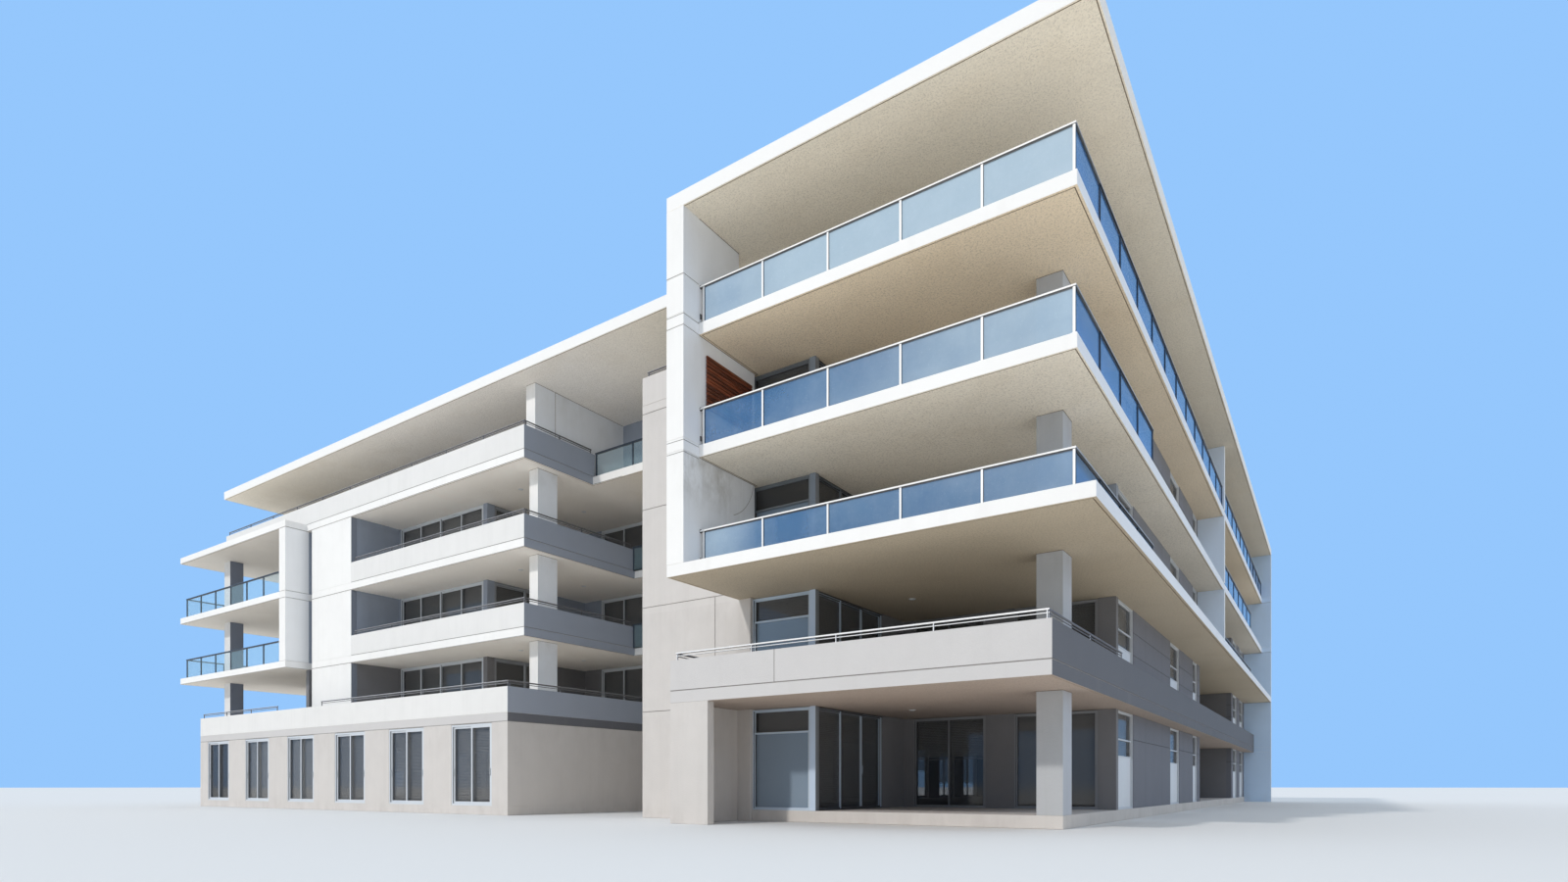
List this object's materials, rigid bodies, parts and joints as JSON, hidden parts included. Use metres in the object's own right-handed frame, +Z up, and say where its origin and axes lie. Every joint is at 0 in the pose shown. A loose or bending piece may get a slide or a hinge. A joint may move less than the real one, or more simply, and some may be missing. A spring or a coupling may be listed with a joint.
{
  "type": "apartment block, 1:2 scale model",
  "caption": "L-shaped apartment block with wide balcony slabs, a white portal frame, set-back top storey and glass balustrades, as a half-size model.",
  "frame": {"origin": "on the level ground under the middle of the plan's bounding box", "axes": "+X along the front to the right, +Y from the front to the back, +Z up"},
  "size_m": [22.56, 21.8, 7.74],
  "materials": {
    "white_render": "smooth painted render, matt",
    "grey_render": "painted render, warm light grey, matt",
    "dark_render": "painted render, mid grey, matt",
    "soffit_concrete": "textured concrete, warm beige below, painted white edges",
    "window_glass": "tinted glass",
    "balustrade_glass": "clear glass with a blue-green tint",
    "aluminium": "satin anodised",
    "timber": "stained boards"
  },
  "bodies": {
    "root": {"ground_slab": "grey_render", "first_slab": "soffit_concrete", "second_slab": "soffit_concrete", "third_slab": "soffit_concrete", "fourth_slab": "soffit_concrete", "roof_slab": "soffit_concrete", "bay_slab": "soffit_concrete", "portal_fin": "white_render", "bay_fin": "white_render", "panel_wall": "grey_render", "panel_block_wall": "grey_render", "near_column": "grey_render", "wing_column": "white_render", "bay_column": "grey_render", "ground_pier": "grey_render", "corner_post": "aluminium", "recess_back_wall": "dark_render", "recess_side_wall": "dark_render", "long_side_wall": "dark_render", "second_recess_wall": "dark_render", "blade_wall": "white_render", "end_wall": "white_render", "near_parapet": "grey_render", "podium_wall": "grey_render", "podium_parapet": "grey_render", "wing_parapet": "white_render", "terrace_parapet": "white_render", "white_wall_panels": "white_render", "loggia_front_wall": "dark_render", "loggia_side_wall": "dark_render", "wing_left_wall": "white_render", "back_wall": "white_render", "court_wall": "white_render", "attic_wall": "dark_render", "terrace_blade": "white_render", "near_glazing": "window_glass", "side_glazing": "window_glass", "wing_glazing": "window_glass", "rear_glazing": "window_glass", "attic_glazing": "window_glass", "balcony_posts": "aluminium", "balcony_glass": "balustrade_glass", "balcony_handrail": "aluminium", "tube_rails": "aluminium", "timber_screen": "timber"}
  },
  "joints": []
}
